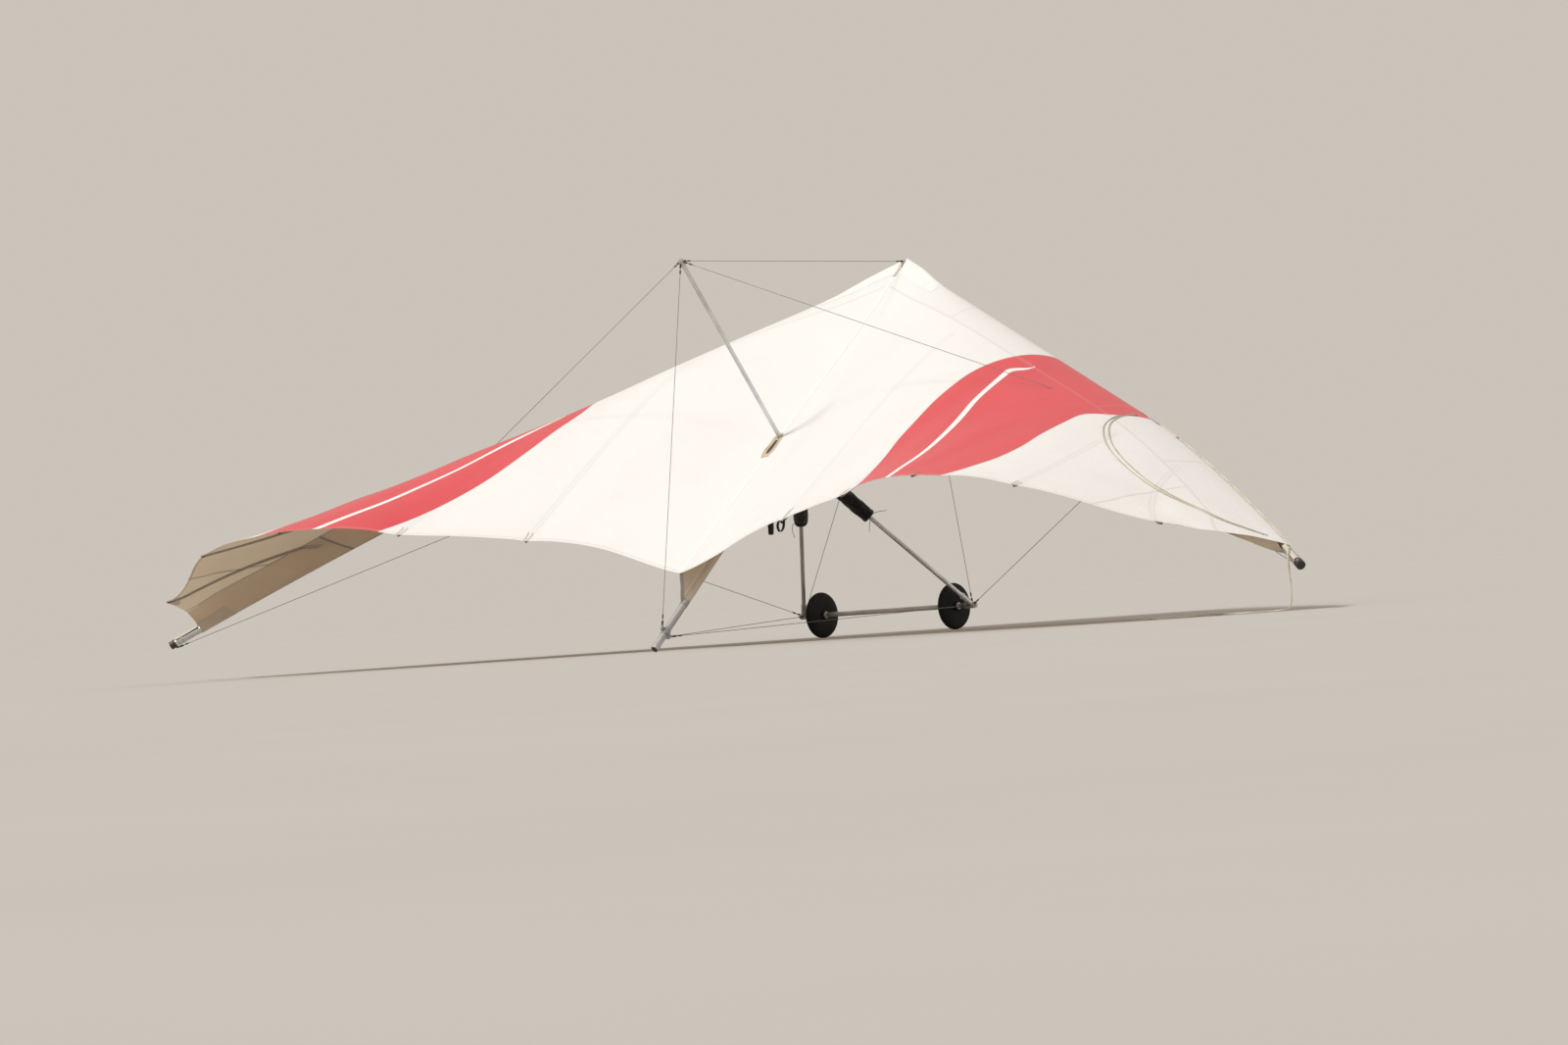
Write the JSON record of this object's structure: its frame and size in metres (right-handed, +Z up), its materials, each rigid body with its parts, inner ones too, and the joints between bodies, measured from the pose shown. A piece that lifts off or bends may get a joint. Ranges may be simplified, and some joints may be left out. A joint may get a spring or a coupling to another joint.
{
  "type": "hang glider",
  "caption": "Training hang glider with a kingpost, wire-braced sail, triangular control frame with foam pads and wheels, parked nose up on its wheels and keel tail.",
  "frame": {"origin": "on the floor, at the middle of the glider's bounding box seen from above, the tether rope left out", "axes": "+X starboard, +Y forward towards the nose, +Z up; the keel is pitched nose up by 42 degrees as the glider stands on its wheels and keel tail"},
  "size_m": [9.798, 3.3622, 2.4855],
  "materials": {
    "sailcloth": "matt",
    "tube": "satin",
    "crossbar_tube": "satin",
    "fitting": "satin",
    "foam": "matt",
    "black_plastic": "matt",
    "wire": "satin",
    "webbing": "matt",
    "rope": "matt"
  },
  "bodies": {
    "airframe": {"wire_lower_front_right": "wire", "wire_lower_front_left": "wire", "wire_lower_rear_right": "wire", "wire_lower_rear_left": "wire", "wire_lower_side_right": "wire", "wire_lower_side_left": "wire", "wire_upper_side_right": "wire", "wire_upper_side_left": "wire", "wire_upper_front": "wire", "wire_upper_rear": "wire", "wire_truss_outer_right": "wire", "wire_truss_outer_left": "wire", "wire_truss_inner_right": "wire", "wire_truss_inner_left": "wire", "sail_right": "sailcloth", "sail_left": "sailcloth", "batten_1_right": "tube", "batten_1_left": "tube", "batten_2_right": "tube", "batten_2_left": "tube", "batten_3_right": "tube", "batten_3_left": "tube", "batten_4_right": "tube", "batten_4_left": "tube", "batten_5_right": "tube", "batten_5_left": "tube", "keel_pocket": "sailcloth", "keel_tube": "tube", "keel_end_cap": "black_plastic", "keel_rear_fitting": "fitting", "nose_bracket": "fitting", "leading_edge_right": "tube", "leading_edge_left": "tube", "leading_edge_cap_right": "black_plastic", "leading_edge_cap_left": "black_plastic", "crossbar_right": "crossbar_tube", "crossbar_left": "crossbar_tube", "crossbar_hub": "fitting", "junction_bracket_right": "fitting", "junction_bracket_left": "fitting", "truss_post_right": "fitting", "truss_post_left": "fitting", "kingpost": "tube", "kingpost_foot": "fitting", "kingpost_cap": "black_plastic", "downtube_right": "tube", "downtube_left": "tube", "downtube_pad_right": "foam", "downtube_pad_left": "foam", "apex_bracket": "fitting", "base_bar": "tube", "corner_bracket_right": "fitting", "corner_bracket_left": "fitting", "hang_loop_1": "webbing", "hang_loop_2": "webbing", "tether_rope": "rope"},
    "wheel_right": {"wheel_right": "black_plastic"},
    "wheel_left": {"wheel_left": "black_plastic"}
  },
  "joints": [
    {"name": "wheel_right_spin", "type": "hinge", "parent": "airframe", "child": "wheel_right", "pos_m": [0.58, 1.19131, 0.1525], "axis": [1, 0, 0], "continuous": true},
    {"name": "wheel_left_spin", "type": "hinge", "parent": "airframe", "child": "wheel_left", "pos_m": [-0.58, 1.19131, 0.1525], "axis": [1, 0, 0], "continuous": true}
  ]
}
